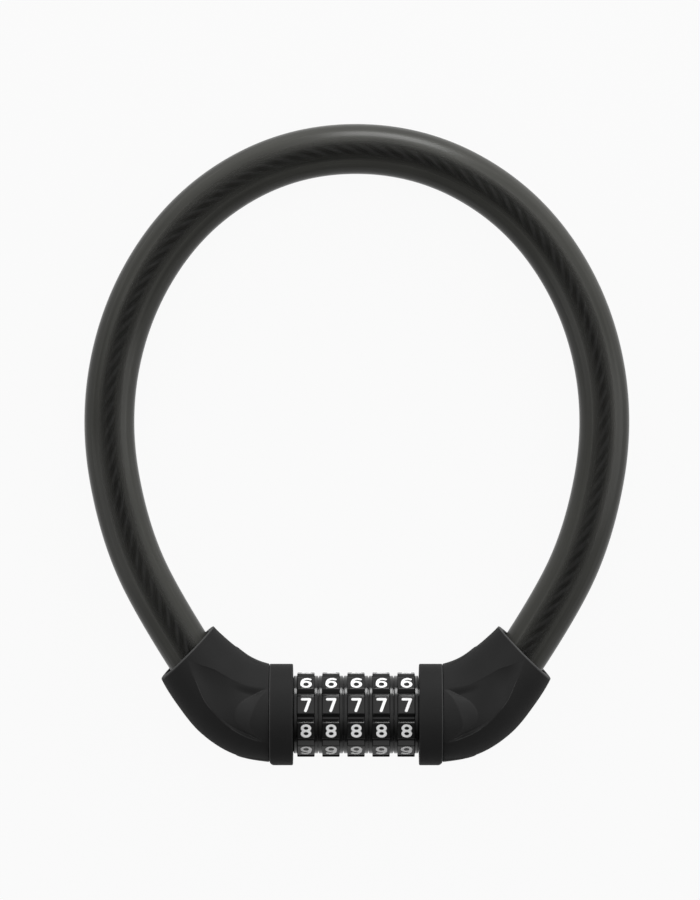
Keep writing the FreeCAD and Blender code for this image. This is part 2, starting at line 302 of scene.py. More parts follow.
def figurePaint():
    paint = Paint("figure_paint", Specular_IOR_Level=0.4)
    cloud = paint.noise(0.6, 3.0)
    worn = paint.wear(0.1, 3.0, cloud)
    return paint.use(
        Base_Color=paint.mix(worn, paint.mix(cloud, grey(0.86), grey(0.93)), grey(0.72)),
        Roughness=0.4 + 0.15 * cloud,
        Normal=paint.bump(cloud, 0.01, 0.4),
    )


def metal(name, colour, roughness, grainSize=0.4, depth=0.01):
    paint = Paint(name, Metallic=1.0)
    cloud, grain = paint.noise(4.0, 3.0), paint.noise(grainSize, 3.0)
    dark, bright = [tuple(share * c for c in colour) + (1.0,) for share in (0.75, 1.5)]
    worn = paint.wear(0.3, 6.0, cloud)
    return paint.use(
        Base_Color=paint.mix(worn, paint.mix(cloud, dark, (*colour, 1)), bright),
        Roughness=roughness - 0.08 + 0.16 * cloud - 0.1 * worn,
        Normal=paint.bump(grain, depth, 0.6),
    )


def ropeSteel():
    # dark steel strands, with painted shade in the grooves between them and a painted highlight on
    # their crowns
    paint = Paint("rope_steel", Metallic=0.6, Specular_IOR_Level=0.3)
    crown, cloud = paint.given("crown"), paint.noise(3.0, 3.0)
    wires = paint.noise(0.25, 3.0)
    # shown is the painted highlight on the strands' crowns, falling to painted shade on their flanks
    shown = paint.limited((crown - 0.25) * 1.6) ** 1.5
    return paint.use(
        Base_Color=paint.mix(shown * (0.6 + 0.4 * cloud), grey(0.003), grey(0.13)),
        Roughness=0.5 - 0.1 * shown + 0.1 * cloud,
        Normal=paint.bump(wires, 0.05, 0.7),
    )


def smokySheath():
    # smoky see-through plastic, drawn in faint streaks along the cable: the longer the way through
    # the wall, the less shows behind it
    paint = Paint("smoky_sheath", Specular_IOR_Level=0.11)
    drawn = paint.given("drawn", "Vector")
    streaks = paint.noise(1.6, 2.0, drawn)
    cloud, grain = paint.noise(14.0, 2.0), paint.noise(1.2, 2.0)
    lean = paint.node("LayerWeight", {}, {"Blend": 0.5}, "Facing")
    tone = paint.limited(1.6 * streaks + 0.4 * cloud - 0.5)
    return paint.use(
        Base_Color=paint.mix(tone, (0.035, 0.035, 0.032, 1), (0.058, 0.058, 0.053, 1)),
        Roughness=0.2 + 0.05 * cloud + 0.07 * streaks,
        Alpha=paint.limited(0.12 + 0.12 * tone + 7.0 * lean),
        Normal=paint.bump(streaks * 0.8 + grain * 0.2, 0.03, 0.4),
    )


materials = {
    "housing": rubberCoat(),
    "sheath": smokySheath(),
    "wireRope": ropeSteel(),
    "dial": dialPlastic(),
    "figures": figurePaint(),
    "castIron": metal("cast_metal", (0.36, 0.36, 0.37), 0.5, 0.7, 0.05),
    "steel": metal("bright_steel", (0.58, 0.58, 0.6), 0.26),
    "springSteel": metal("spring_steel", (0.42, 0.43, 0.46), 0.3),
    "darkSteel": metal("dark_steel", (0.09, 0.09, 0.1), 0.42),
}
print("materials made")


# Cable, in metres. The route's points are given for each half of the ring: out from the
# housing's end, up from the barrel.
cable = {
    "left": [
        (0.0128, 0.0015),
        (0.0300, 0.0270),
        (0.0434, 0.0535),
        (0.0497, 0.0895),
        (0.0422, 0.1244),
        (0.0222, 0.1532),
        (-0.0082, 0.1697),
    ],
    "right": [
        (0.0128, 0.0015),
        (0.0305, 0.0270),
        (0.0439, 0.0535),
        (0.0502, 0.0895),
        (0.0428, 0.1243),
        (0.0228, 0.1530),
        (-0.0078, 0.1696),
    ],
    "coreStart": 0.004,  # along the first run
    "sheathInset": 0.010,  # from the core's end to the sheath's
    "boreRadius": 0.0048,
    "sides": 64,
    "step": 0.0012,
    "strands": 10,
    "strandRadius": 0.00112,
    "helixRadius": 0.00363,
    "lay": 0.051,
    "strandSides": 12,
    "middleRadius": 0.0027,  # of the plain middle under the strands
    "middleSides": 16,
    "drawnOut": 0.03,  # streaks in the sheath run on for so much longer than they are wide
    "bendFrom": 0.05,  # the opened lock's cable would bend where it is nearer than this to the middle plane; this script doesn't read it
}


def routePoints():
    start = lock["housingStart"] / 1000
    left, right = (np.array(cable[half]) + [start, 0] for half in ("left", "right"))
    for half in (left, right):
        run = (half[1] - half[0]) / np.linalg.norm(half[1] - half[0])
        half[0] += run * cable["coreStart"]
    both = np.concatenate([left * [-1, 1], right[::-1]])
    return toTable(np.column_stack([both, np.zeros(len(both))]) * 1000)


def cableLine():
    # the points of the route's own smooth curve, then evenly spaced along it
    points = routePoints()
    curve = bpy.data.curves.new("route", "CURVE")
    curve.dimensions = "3D"
    spline = curve.splines.new("NURBS")
    spline.points.add(len(points) - 1)
    spline.points.foreach_set("co", np.column_stack([points, np.ones(len(points))]).ravel())
    spline.order_u = 3
    spline.use_endpoint_u = True
    spline.resolution_u = 40
    holder = bpy.data.objects.new("route", curve)
    mesh = bpy.data.meshes.new_from_object(holder)
    line = np.empty(len(mesh.vertices) * 3)
    mesh.vertices.foreach_get("co", line)
    line = line.reshape(-1, 3)
    bpy.data.objects.remove(holder)
    bpy.data.curves.remove(curve)
    bpy.data.meshes.remove(mesh)
    length = np.concatenate([[0], np.cumsum(np.linalg.norm(np.diff(line, axis=0), axis=1))])
    even = np.linspace(0, length[-1], round(length[-1] / cable["step"]) + 1)
    return np.column_stack([np.interp(even, length, line[:, k]) for k in range(3)]), even


def aroundLine(line, radius, angles):
    # points round each point of the line: radius along the ring's front and the line's own side
    along = np.gradient(line, axis=0)
    along /= np.linalg.norm(along, axis=1)[:, None]
    side = np.cross(along, ringFront)
    side /= np.linalg.norm(side, axis=1)[:, None]
    front = np.cross(side, along)
    angles = np.broadcast_to(angles, (len(line), np.shape(angles)[-1]))[..., None]
    return line[:, None] + radius * (np.cos(angles) * side[:, None] + np.sin(angles) * front[:, None])


def makeCable():
    line, length = cableLine()
    turn = np.arange(cable["sides"]) * 2 * math.pi / cable["sides"]
    inside = (length >= cable["sheathInset"]) & (length <= length[-1] - cable["sheathInset"])
    covered = line[inside]
    rings, places = [], []
    for radius, step in ((lock["cableRadius"] / 1000, 1), (cable["boreRadius"], -1)):
        rings.append(aroundLine(covered, radius, turn)[::step])
        across = np.stack([radius * np.cos(turn), radius * np.sin(turn)], -1)
        along = length[inside][::step, None, None] * cable["drawnOut"]
        shape = (len(covered), len(turn))
        across, along = np.broadcast_to(across, (*shape, 2)), np.broadcast_to(along, (*shape, 1))
        places.append(np.concatenate([across, along], -1))
    solid = ringSolid(np.concatenate(rings))
    given = {"drawn": np.concatenate(places).reshape(-1, 3)}
    sheath = makePiece("sheath", solid, materials["sheath"], given=given)

    fewer = turn[:: cable["sides"] // cable["middleSides"]]
    middle = solidAlong(aroundLine(line, cable["middleRadius"], fewer))
    # crown values for the rope's painted highlight and shade: the plain middle gets -1, painted fully
    # dark
    parts, crowns = [middle], [np.full(len(middle[0]), -1.0)]
    twist = -2 * math.pi * length / cable["lay"]  # a right-hand lay
    around = np.arange(cable["strandSides"]) * 2 * math.pi / cable["strandSides"]
    for strand in range(cable["strands"]):
        angle = (twist + strand * 2 * math.pi / cable["strands"])[:, None]
        helix = aroundLine(line, cable["helixRadius"], angle)[:, 0]
        parts.append(solidAlong(aroundLine(helix, cable["strandRadius"], angle + around)))
        crowns.append(np.broadcast_to(np.cos(around), (len(line), len(around))).ravel())
    given = {"crown": np.concatenate(crowns)}
    strands = makePiece("wire_rope", joined(parts), materials["wireRope"], 60.0, given)

    pieces = ((sheath, "cable_sheath", "sheath"), (strands, "cable_core", "wire_rope"))
    for piece, node, slot in pieces:
        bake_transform(piece)
        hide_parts(node)
    print("cable made, core", round(length[-1], 4), "m")


makeCable()


# Elbow housings. Each has a front and a rear shell that meet in the plane of the ring.
elbow = {
    "fanHeight": 43.3,
    "seamRadius": 14.65,
    "mouthRadius": 11.1,
    "mouthDistance": 34.8,
    "sections": [  # angle, distance from the fan's middle, share of the seam's extra radius
        (0.0, 42.7, 1.0),
        (11.25, 41.45, 1.0),
        (22.5, 39.1, 0.81),
        (33.75, 36.6, 0.39),
        (45.0, 34.8, 0.0),
    ],
    "seamRounding": 0.25,
    "lipRounding": 0.3,
    "partRounding": 0.12,
    "mouthLean": 3.0,  # degrees, towards the front
    # the edges of the flattened bands: angle of the section's plane, angle round the section
    "upperCrease": [(0.0, 122.2), (6.7, 120.4), (14.4, 116.9), (22.7, 113.0), (29.1, 108.7),
                    (35.4, 100.0), (45.0, 85.0)],
    "lowerCrease": [(0.0, 52.2), (5.3, 56.2), (10.0, 58.9), (16.4, 62.3), (21.1, 65.7), (26.7, 69.6),
                    (32.0, 76.0), (45.0, 85.0)],
    "degreeLength": 0.23,  # along the surface, for each degree round the section
    "outerBands": (12.0, 168.0),  # degrees: where the other two bands end, near the parting line
    "outerFade": 9.0,  # degrees from the seam over which those two rise
    "reliefFade": (26.0, 42.0),  # degrees from the seam between which all bands fade out
    "bandDepth": 1.5,
    "lowerShare": 0.45,  # of that depth by the lower crease
    "upperDepth": 0.3,
    "lowerDepth": 0.4,
    "creaseWidth": 0.55,
    "scoopWidth": 2.2,  # of the band's fall under the upper crease
    "grooveDepth": 0.12,  # of the groove over the lower crease
    "grooveWidth": 1.2,
    # the raised leaf's outer edge and its fold as (height, place along the barrel)
    "leafEdge": [(-8.6, -27.0), (-7.6, -28.9), (-6.6, -30.6), (-5.5, -32.2), (-4.6, -33.4),
                 (-3.8, -34.4), (-2.9, -35.3), (-2.0, -35.95), (-1.0, -36.3), (0.0, -36.4),
                 (1.1, -36.3), (2.3, -35.85), (3.5, -35.1), (4.6, -34.1), (5.75, -32.4),
                 (6.8, -30.6), (7.8, -28.4), (8.4, -26.2)],
    "leafFold": [(-8.6, -26.6), (-6.6, -28.6), (-5.0, -30.6), (-3.8, -31.6), (-2.9, -31.9),
                 (-1.9, -31.95), (-0.95, -31.8), (0.55, -31.3), (2.05, -30.8), (3.5, -30.1),
                 (5.0, -29.3), (6.35, -28.3), (7.4, -27.2), (8.4, -26.0)],
    "leafStep": 0.16,  # of the leaf's rise, over the crease's width at its edge
    "leastFold": 0.3,  # between the leaf's edge and its fold
    "leafFade": (7.0, 20.0),  # degrees from the seam between which the leaf's band turns plain
    "seamFade": 2.0,  # from the seam, over which the leaf's band starts
    "bandHighlight": 0.07,  # how light the middle band is painted, as a painted highlight
    "bandSoft": 3.0,  # degrees inside the creases over which that comes in
    "leafRubbed": 0.1,  # and how much more the leaf, from its edge to its fold
    "padRise": 0.18,
    "padStep": 0.8,  # over which a pad rises
    "padFade": 6.0,  # from the seam, of the upper pad
    "padLength": 10.6,
    "padWidth": 5.5,
    "wall": 3.0,
    "endWall": 3.0,
    "endHole": 9.6,
    "cableHole": 7.6,
    "cableHoleAt": (-50.06, 19.23),  # in the mouth's plane
    "cableLean": 57.57,
    "flareRadius": 9.1,
    "gripDepths": (6.0, 4.0, 2.2),  # from the mouth's plane; the hole flares from the last one out
    "flareSteps": (0.25, 0.5, 0.75, 0.92, 1.0),
    "leanFrom": 28.0,  # degrees from the seam where the mouth's lean starts
    "cavity": (5.6, 30.5),  # degrees from the seam
    # the mesh's rows, in degrees from the seam: by the seam, over the two middle parts, by the mouth
    "seamRows": [0, 0.02, 0.06, 0.12, 0.2, 0.32, 0.5, 0.75],
    "middleRows": [(0.9, 16, 96), (16.4, 43.6, 64)],
    "mouthRows": [44.0, 44.3, 44.5, 44.65, 44.77, 44.86, 44.93, 44.97, 45],
    "mouthHighlightRows": (44.2, 44.8),  # between which the mouth's edge is painted lighter, as a painted highlight
    # its columns, in degrees round the section: by the parting line, then across the front
    "partColumns": [0, 0.08, 0.2, 0.35, 0.55, 0.85],
    "faceColumns": [(1.5, 48, 24), (48.5, 64, 32), (64.7, 110, 66), (110.5, 126, 32), (128, 178.5, 28)],
    "creaseColumns": (56.0, 118.0),  # those that follow the creases
    "leastBand": 8.0,  # half the least width between those two
}
fanMiddle = np.array([-lock["housingStart"], elbow["fanHeight"], 0.0])
mouthOutward = np.array([-math.sqrt(0.5), math.sqrt(0.5), 0.0])
mouthSide = np.array([math.sqrt(0.5), math.sqrt(0.5), 0.0])
mouthMiddle = fanMiddle - mouthSide * elbow["mouthDistance"]
frontWard = np.array([0.0, 0.0, 1.0])
mouthFan = elbow["mouthRows"][-1]
leafEnds = elbow["leafEdge"][0][0], elbow["leafEdge"][-1][0]


def hump(low, high, at):
    # 0 at both ends and 1 halfway, along a parabola
    t = np.clip((at - low) / (high - low), 0, 1)
    return 4 * t * (1 - t)


def creases(fan):
    # where the two creases stand round each section, in degrees
    return [curveThrough(*np.transpose(elbow[name]), fan) for name in ("lowerCrease", "upperCrease")]


def alongCreases(fan, turns):
    # the turn of each column, row by row: two of the columns follow the creases, and the others are
    # spread evenly between them and the parting line
    face = np.degrees(np.abs(turns))[None, :]
    lower, upper = creases(fan[:, None])
    middle, half = (lower + upper) / 2, np.maximum((upper - lower) / 2, elbow["leastBand"])
    lower, upper = middle - half, middle + half
    first, second = elbow["creaseColumns"]
    between = lower + (face - first) / (second - first) * (upper - lower)
    above = upper + (face - second) / (180 - second) * (180 - upper)
    moved = np.where(face < first, face / first * lower, np.where(face < second, between, above))
    return np.radians(moved) * np.sign(turns[len(turns) // 2])


def leafLines(points):
    # how far each point stands past the raised leaf's edge and past its fold, along the barrel
    x, y = points[..., 0], np.clip(points[..., 1], *leafEnds)
    return [x - curveThrough(*np.transpose(elbow[name]), y) for name in ("leafEdge", "leafFold")]


def paintedBandHighlight(points, fan, turn):
    # how much painted highlight the middle band gets, and more on its leaf from the edge to the fold
    face = np.degrees(np.abs(turn))
    lower, upper = creases(fan)
    soft = elbow["bandSoft"]
    band = smoothStep(0, soft, face - lower) * smoothStep(0, soft, upper - face)
    pastEdge, pastFold = leafLines(points)
    crease = elbow["creaseWidth"]
    slope = smoothStep(0, crease, pastEdge) * (1 - smoothStep(0, crease, pastFold))
    return band * (elbow["bandHighlight"] + elbow["leafRubbed"] * slope)


def elbowRelief(points, fan, turn):
    # how far the surface stands out of the round form: three flattened bands, of which the middle one
    # leaves a leaf of the round form standing by the seam, and the pads on the parting line
    x, y = points[..., 0], points[..., 1]
    toSeam = -lock["housingStart"] - x
    face = np.degrees(np.abs(turn))
    lower, upper = creases(fan)
    below, above = (gap * elbow["degreeLength"] for gap in (upper - face, face - lower))
    shown = 1 - smoothStep(*elbow["reliefFade"], fan)
    byLeaf = 1 - smoothStep(*elbow["leafFade"], fan)
    crease = elbow["creaseWidth"]

    flank = smoothStep(0, crease, above) * smoothStep(0, elbow["scoopWidth"], below)
    least = elbow["lowerShare"]
    share = least + (1 - least) * np.clip((face - lower) / (upper - lower), 0, 1)
    middle = elbow["bandDepth"] * (byLeaf * flank * share + (1 - byLeaf) * hump(lower, upper, face))
    pastEdge, pastFold = leafLines(points)
    up = np.clip(pastEdge / np.maximum(pastEdge - pastFold, elbow["leastFold"]), 0, 1)
    leaf = elbow["leafStep"] * smoothStep(0, crease, pastEdge) + (1 - elbow["leafStep"]) * up
    middle = middle * (1 - leaf * ((y > leafEnds[0]) & (y < leafEnds[1])))
    groove = smoothStep(0, crease, above) * (1 - smoothStep(crease, elbow["grooveWidth"], above))
    middle = middle + elbow["grooveDepth"] * groove * byLeaf
    middle = middle * smoothStep(0, elbow["seamFade"], toSeam)
    first, last = elbow["outerBands"]
    outer = elbow["upperDepth"] * hump(upper, last, face)
    outer = outer + elbow["lowerDepth"] * hump(first, lower, face)
    relief = -(middle + outer * smoothStep(0, elbow["outerFade"], fan)) * shown

    reach = np.clip(1 - toSeam / elbow["padLength"], 0, 1)
    radius = np.hypot(points[..., 2], 1)  # how far from the parting plane, with a soft middle
    half = elbow["padWidth"] * np.sqrt(reach)
    faded = np.where(y > 0, smoothStep(0, elbow["padFade"], toSeam), 1)
    pads = smoothStep(0, elbow["padStep"], half - radius) * (reach > 0) * faded
    return relief + elbow["padRise"] * pads


def elbowOuter(fan, turn):
    # round sections in planes fanned about one point, pushed in and out by the relief and the roundings
    angles, distances, shares = np.transpose(elbow["sections"])
    outward = np.stack([-np.sin(np.radians(fan)), -np.cos(np.radians(fan)), 0 * fan], -1)
    radii = elbow["mouthRadius"] + shares * (elbow["seamRadius"] - elbow["mouthRadius"])
    radius = curveThrough(angles, radii, fan)
    middle = fanMiddle + outward * curveThrough(angles, distances, fan)[..., None]
    spoke = outward * np.cos(turn)[..., None] + frontWard * np.sin(turn)[..., None]
    base = middle + spoke * radius[..., None]
    out = elbowRelief(base, fan, turn)
    out = out - roundOff(-lock["housingStart"] - base[..., 0], elbow["seamRounding"])
    out = out - roundOff((mouthMiddle - base) @ mouthOutward, elbow["lipRounding"])
    out = out - roundOff(np.abs(base[..., 2]), elbow["partRounding"])
    return base + spoke * out[..., None], middle, spoke, radius


def leanMouth(points, fan):
    # slides what is near the mouth along its own direction, back in front and out behind
    share = smoothStep(elbow["leanFrom"], mouthFan, fan) * math.tan(math.radians(elbow["mouthLean"]))
    return points - mouthOutward * (share * points[..., 2])[..., None]


def elbowShell(turns):
    # outer surface from the seam to the mouth, then back through flare, grip, cavity and end wall
    middleRows = [np.linspace(*rows) for rows in elbow["middleRows"]]
    fan = np.concatenate([elbow["seamRows"], *middleRows, elbow["mouthRows"]])
    # painted highlight along the mouth's edge
    paintedHighlight = smoothStep(*elbow["mouthHighlightRows"], fan)
    turn = alongCreases(fan, turns)
    fan = np.broadcast_to(fan[:, None], turn.shape)
    outer = elbowOuter(fan, turn)[0]
    # painted highlight on the middle band and its leaf is added to the mouth's
    paintedHighlight = paintedHighlight[:, None] + paintedBandHighlight(outer, fan, turn)
    outer = leanMouth(outer, fan)

    circle = np.stack([-np.cos(turns), np.sin(turns)], -1)  # down and front
    flat = np.stack([0 * turns, circle[:, 0], circle[:, 1]], -1)
    endRows = [flat * elbow["endHole"] - [lock["housingStart"] + depth, 0, 0]
               for depth in np.linspace(0, elbow["endWall"], 6)]
    lean = math.radians(elbow["cableLean"])
    axis = np.array([-math.cos(lean), math.sin(lean), 0])
    stretch = 1 / (axis @ mouthOutward)
    across, front = (way * part[:, None] for way, part in ((-mouthSide, np.cos(turns)),
                                                           (frontWard, np.sin(turns))))
    gripRows = []
    for depth in elbow["gripDepths"]:
        middle = np.array([*elbow["cableHoleAt"], 0]) - axis * depth * stretch
        gripRows.append(middle + elbow["cableHole"] * (across * stretch + front))
    low, high = gripRows[-1], mouthMiddle + elbow["flareRadius"] * (across + front)
    gripRows += [low + (high - low) * t for t in elbow["flareSteps"]]
    cavityFan = np.linspace(*elbow["cavity"], len(fan) - len(endRows) - len(gripRows))
    cavityFan, cavityTurn = np.meshgrid(cavityFan, turns, indexing="ij")
    base, middle, spoke, radius = elbowOuter(cavityFan, cavityTurn)
    cavity = middle + spoke * (radius - elbow["wall"])[..., None]
    inner = np.concatenate([endRows, cavity, gripRows])
    grip = slice(-len(gripRows), None)
    inner[grip] = leanMouth(inner[grip], np.full(inner[grip].shape[:2], mouthFan))
    loop = np.concatenate([outer, inner[::-1]])
    paintedHighlight = np.concatenate([paintedHighlight, paintedHighlight[-1:], np.zeros((len(inner) - 1, len(turns)))])
    return solidAlong(loop.transpose(1, 0, 2)), {"paintedHighlight": paintedHighlight.T.ravel()}


def makeElbows():
    fine = np.radians(elbow["partColumns"])
    face = np.radians(np.concatenate([np.linspace(*columns) for columns in elbow["faceColumns"]]))
    half = np.concatenate([fine, face, math.pi - fine[::-1]])
    for name, turns in (("front", half), ("rear", half[::-1] * -1)):
        (points, faces), given = elbowShell(turns)
        for side, body, sign in (("left", "plug_side", 1), ("right", "barrel_side", -1)):
            solid = toTable(points * [sign, 1, 1]), faces
            piece = makePiece(f"{side}_elbow_{name}", solid, materials["housing"], given=given)
            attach(piece, body)
            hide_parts(f"{side}_housing_{name}")
    print("elbows made")


makeElbows()


# Each dial has a lip on its right that stands in a recess of what is next to it, so that no light
# shows between them
lip = {
    "bore": 10.15,
    "inner": 10.25,
    "outer": 11.15,
    "reach": 0.6,  # past the dial's end face
    "recess": 0.5,
    "play": 0.1,
    "stackEnd": 18.65,  # where the last dial's end face stands
}

# Collars beside the dials
collar = {
    "inner": 18.9,
    "outer": 25.9,
    "bore": 8.35,
    "innerRounding": 0.35,
    "edgeRounding": 0.3,  # at the seam with the elbow
    "lowCorner": 1.4,  # the seam's rounding where the two shells meet below
    "lowSpread": 38.0,  # degrees either side that it fades over
    "paintedHighlight": 0.5,  # how light the edge at the seam is painted, as a painted highlight
    "chamfer": 0.3,  # at both ends of the bore
    "support": 0.1,  # from the outer corner to the rows of points that keep its sides flat
    "sides": 240,
}


def collarSolid(side):
    # a profile turned round the barrel, its outer corner rounded more towards the bottom; the left
    # collar has a lip that stands in the first dial's recess, and the right one a recess for a lip
    turn = np.arange(collar["sides"]) * 2 * math.pi / collar["sides"]  # from the top, frontwards
    lowest = 1 - smoothStep(0, collar["lowSpread"], np.degrees(np.abs(turn - math.pi)))
    corner = collar["edgeRounding"] + (collar["lowCorner"] - collar["edgeRounding"]) * lowest
    radius, bore, inner = lock["collarRadius"], collar["bore"], collar["innerRounding"]
    start, end, chamfer, support = (collar[key] for key in ("inner", "outer", "chamfer", "support"))
    if side == "left":
        low, high, step = lip["inner"], lip["outer"], lip["stackEnd"] - lip["recess"] + lip["play"]
    else:
        low, high, step = lip["bore"], lip["outer"] + lip["play"], lip["stackEnd"] + lip["reach"]
        step += lip["play"]
    rows = [(start, bore + chamfer), (start, low), (step, low), (step, high), (start, high)]
    quarter = np.radians(np.linspace(0, 90, 9))
    for q in quarter[::-1]:
        rows.append((start + inner * (1 - math.sin(q)), radius - inner * (1 - math.cos(q))))
    rows.append((end - corner - support, radius))
    plain = len(rows)
    for q in quarter:
        rows.append((end - corner * (1 - math.sin(q)), radius - corner * (1 - math.cos(q))))
    rows += [(end, radius - corner - support), (end, bore + chamfer), (end - chamfer, bore),
             (start + chamfer, bore)]
    points = [np.stack([x + 0 * turn, r * np.cos(turn), r * np.sin(turn)], -1) for x, r in rows]
    after = len(rows) - plain - len(quarter)
    # painted highlight on the rounded edge at the seam
    paintedHighlight = np.repeat([0.0, collar["paintedHighlight"], 0.0], [plain, len(quarter), after])
    return ringSolid(np.array(points)), {"paintedHighlight": np.repeat(paintedHighlight, len(turn))}


def makeCollars():
    for side, sign in (("left", -1), ("right", 1)):
        (points, faces), given = collarSolid(side)
        solid = toTable(points * [sign, 1, 1]), faces
        piece = makePiece(f"{side}_band", solid, materials["housing"], given=given)
        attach(piece, "barrel_side")
        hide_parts(f"{side}_collar")
    print("collars made")


makeCollars()


# Number dials
dial = {
    "count": 5,
    "pitch": 7.5,
    "length": 7.3,
    "pads": 10,
    "phase": 16.0,
    "phaseFigure": 7,
    "grooveRadius": 11.4,
    "grooveWidth": 0.6,
    "padDistance": 12.5,
    "padHeight": 5.2,
    "padWidth": 5.2,
    "rimRadius": 11.65,
    "rimRounding": 0.25,
    "cornerRounding": 0.26,
    "footRounding": 0.08,
    "rimChamfer": 0.08,  # where a rim meets the pads' ends
    "rimSupport": (0.1, 0.03),  # rows of points that keep the rims flat, from the pads and roundings
    "padSupport": 1.2,  # from the dial's middle
    "quarter": (0, 22, 45, 68, 90),  # degrees: the points of a rounding
}


def roundedOutline(corners, reach, steps=5, between=6):
    # a closed outline with each corner cut by a quadratic curve that starts and ends reach away from
    # it, and more points on the straight lines between them
    before = np.roll(corners, 1, axis=0) - corners
    after = np.roll(corners, -1, axis=0) - corners
    before /= np.linalg.norm(before, axis=1)[:, None]
    after /= np.linalg.norm(after, axis=1)[:, None]
    t = np.linspace(0, 1, steps)[None, :, None]
    reach = reach[:, None, None]
    curve = corners[:, None] + before[:, None] * reach * (1 - t) ** 2 + after[:, None] * reach * t**2
    share = np.arange(1, between + 1)[None, :, None] / (between + 1)
    last, first = curve[:, -1:], np.roll(curve, -1, axis=0)[:, :1]
    return np.concatenate([curve, last + (first - last) * share], axis=1).reshape(-1, 2)


def dialOutline():
    # across the dial, as (up, front): ten flat pads with steep sides and narrow grooves between them
    step = 2 * math.pi / dial["pads"]
    foot = step / 2 - dial["grooveWidth"] / 2 / dial["grooveRadius"]
    shoulder = math.atan2(dial["padHeight"] / 2, dial["padDistance"])
    high = math.hypot(dial["padHeight"] / 2, dial["padDistance"])
    middle = math.radians(dial["phase"]) + step * np.arange(dial["pads"])[:, None]
    angles = middle + np.array([-foot, -shoulder, shoulder, foot])
    radii = np.array([dial["grooveRadius"], high, high, dial["grooveRadius"]])
    corners = np.stack([radii * np.sin(angles), radii * np.cos(angles)], -1).reshape(-1, 2)
    reach = np.tile([dial["footRounding"], dial["cornerRounding"], dial["cornerRounding"],
                     dial["footRounding"]], dial["pads"])
    return roundedOutline(corners, reach)


def dialSolid(middle):
    # the outline carried along the barrel, drawn in at the pads' ends, then rims, end faces, the lip on
    # the right, the recess on the left and the bore
    outline = dialOutline()
    ahead = np.roll(outline, -1, axis=0) - np.roll(outline, 1, axis=0)
    normal = np.stack([ahead[:, 1], -ahead[:, 0]], -1)
    normal /= np.linalg.norm(normal, axis=1)[:, None]
    normal *= np.sign(np.sum(normal * outline))
    direction = outline / np.linalg.norm(outline, axis=1)[:, None]
    half, pad = dial["length"] / 2, dial["padWidth"] / 2
    rounding = dial["cornerRounding"]
    rows = [(0.0, outline), (dial["padSupport"], outline)]
    for turn in np.radians(dial["quarter"]):
        inward = rounding * (1 - math.cos(turn))
        rows.append((pad - rounding + rounding * math.sin(turn), outline - normal * inward))
    rim, rimRadius, chamfer = dial["rimRounding"], dial["rimRadius"], dial["rimChamfer"]
    first, last = dial["rimSupport"]
    rows.append((pad, direction * (rimRadius - chamfer)))
    rows += [(x, direction * rimRadius) for x in (pad + chamfer, pad + first, half - rim - last)]
    for turn in np.radians(dial["quarter"]):
        radius = rimRadius - rim * (1 - math.cos(turn))
        rows.append((half - rim + rim * math.sin(turn), direction * radius))
    bore, recess, floor = lip["bore"], lip["outer"] + lip["play"], half - lip["recess"]
    left = [(floor, bore), (floor, recess), (half, recess)]
    end = half + lip["reach"]
    right = [(half, lip["outer"]), (end, lip["outer"]), (end, lip["inner"]), (half, lip["inner"]),
             (half, bore)]
    left, right = ([(x, direction * radius) for x, radius in ends] for ends in (left, right))
    rows = [(-x, ring) for x, ring in left + rows[:0:-1]] + rows + right
    points = [np.column_stack([np.full(len(ring), middle + x), ring]) for x, ring in rows]
    return ringSolid(np.array(points))


# Strokes of each figure, in millimetres right and up of its middle; a closed stroke ends where it
# starts
oval = np.linspace(0, 2 * math.pi, 33)


def ring(x, y, wide, high):
    return np.stack([x + wide * np.sin(oval), y + high * np.cos(oval)], -1)


def bend(*points, steps=28):
    # a smooth line through the points
    points = np.array(points, float)
    knots = np.concatenate([[0], np.cumsum(np.linalg.norm(np.diff(points, axis=0), axis=1))])
    at = np.linspace(0, knots[-1], steps)
    return np.stack([curveThrough(knots, points[:, k], at) for k in range(2)], -1)


